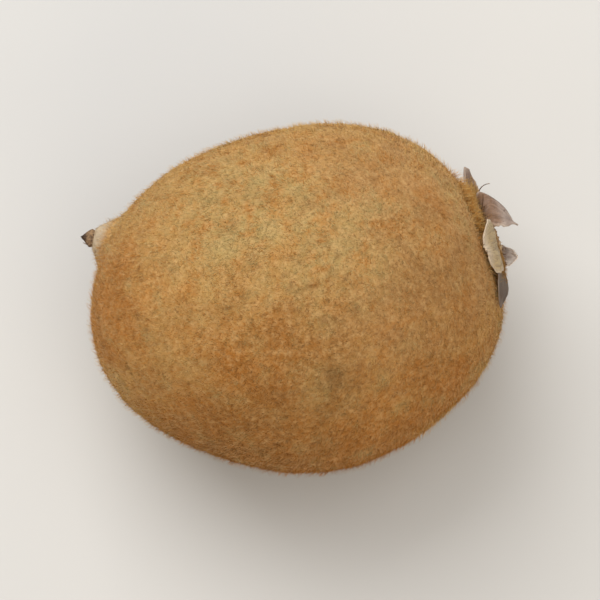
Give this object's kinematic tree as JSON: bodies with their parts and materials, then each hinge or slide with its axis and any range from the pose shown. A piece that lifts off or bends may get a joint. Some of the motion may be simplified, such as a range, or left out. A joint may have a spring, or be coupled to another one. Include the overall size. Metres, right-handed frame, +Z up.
{
  "type": "kiwi fruit",
  "caption": "Whole fuzzy kiwi fruit lying on its side on a small flat spot, with a dried calyx at the stem end and a small tuft of dried styles at the blossom end.",
  "frame": {"origin": "bottom centre of the part's box, level with the flat resting spot", "axes": "+X towards the stem end with the calyx, -X towards the blossom end, +Y across the wide side, towards which both ends are bent, +Z up"},
  "size_m": [0.0632, 0.0504, 0.0474],
  "materials": {
    "skin": "golden-brown kiwi skin, matt, covered in dense short tan fuzz with darker specks; leather stands in for fruit skin",
    "calyx": "dry, papery, mauve-grey to tan sepals round a corky stalk scar",
    "stamens": "dry dark-brown stamen threads",
    "styles": "dry near-black style threads"
  },
  "bodies": {
    "root": {"fruit_body": "skin", "calyx": "calyx", "stamen_disc": "stamens", "style_tuft": "styles"}
  },
  "joints": []
}
